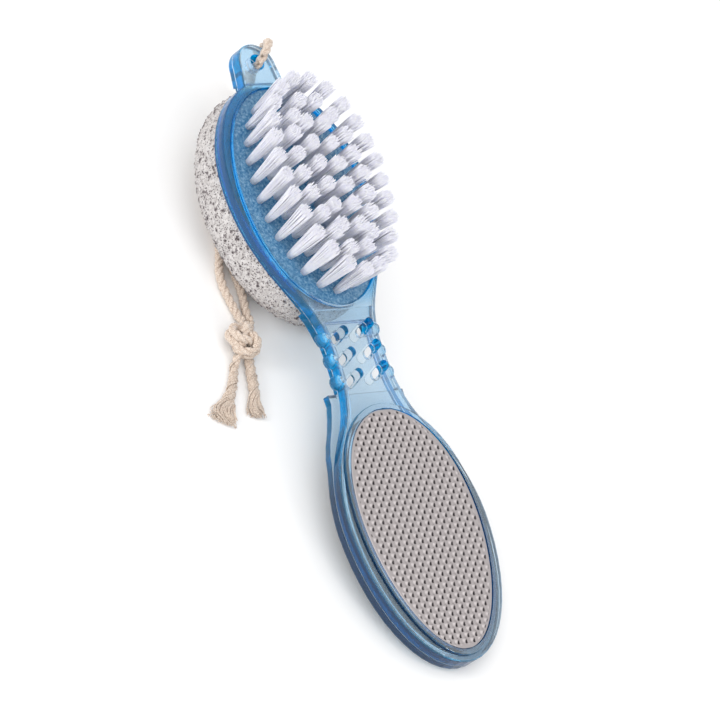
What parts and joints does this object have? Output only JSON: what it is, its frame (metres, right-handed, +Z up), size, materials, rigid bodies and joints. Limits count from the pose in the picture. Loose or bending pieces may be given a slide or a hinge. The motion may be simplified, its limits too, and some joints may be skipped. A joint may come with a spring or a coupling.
{
  "type": "pedicure scrubber",
  "caption": "Clear blue hourglass paddle with a bristle brush and steel foot file on its front, a pumice stone and emery pad on its back, and a knotted hanging cord.",
  "frame": {"origin": "on the table under the middle of the paddle's box, cord left out, as the paddle lies on its stone", "axes": "+Z up from the table, +Y from the file end to the hanging lug, +X to the right seen from the bristle side"},
  "size_m": [0.0829, 0.2249, 0.0501],
  "materials": {
    "clear_blue_plastic": "polished, clear blue",
    "white_nylon": "satin bristle",
    "pumice": "rough, open pores",
    "stamped_steel": "bright, with punched dimples",
    "adhesive_film": "matte",
    "emery_grit": "coarse grit",
    "foam_pad": "matte foam",
    "twisted_cotton": "twisted yarn"
  },
  "bodies": {
    "root": {"front_shell": "clear_blue_plastic", "back_shell": "clear_blue_plastic", "brush_plate": "clear_blue_plastic", "bristle_arc_01": "white_nylon", "bristle_arc_02": "white_nylon", "bristle_arc_03": "white_nylon", "bristle_arc_04": "white_nylon", "bristle_arc_05": "white_nylon", "bristle_arc_06": "white_nylon", "bristle_arc_07": "white_nylon", "bristle_arc_08": "white_nylon", "bristle_arc_09": "white_nylon", "bristle_arc_10": "white_nylon", "bristle_arc_11": "white_nylon", "bristle_arc_12": "white_nylon", "bristle_arc_13": "white_nylon", "pumice_stone": "pumice", "file_plate": "stamped_steel", "file_adhesive": "adhesive_film", "emery_sheet": "emery_grit", "emery_foam": "foam_pad", "cord_loop": "twisted_cotton", "cord_knot": "twisted_cotton", "cord_tail_left": "twisted_cotton", "cord_tail_right": "twisted_cotton"}
  },
  "joints": []
}
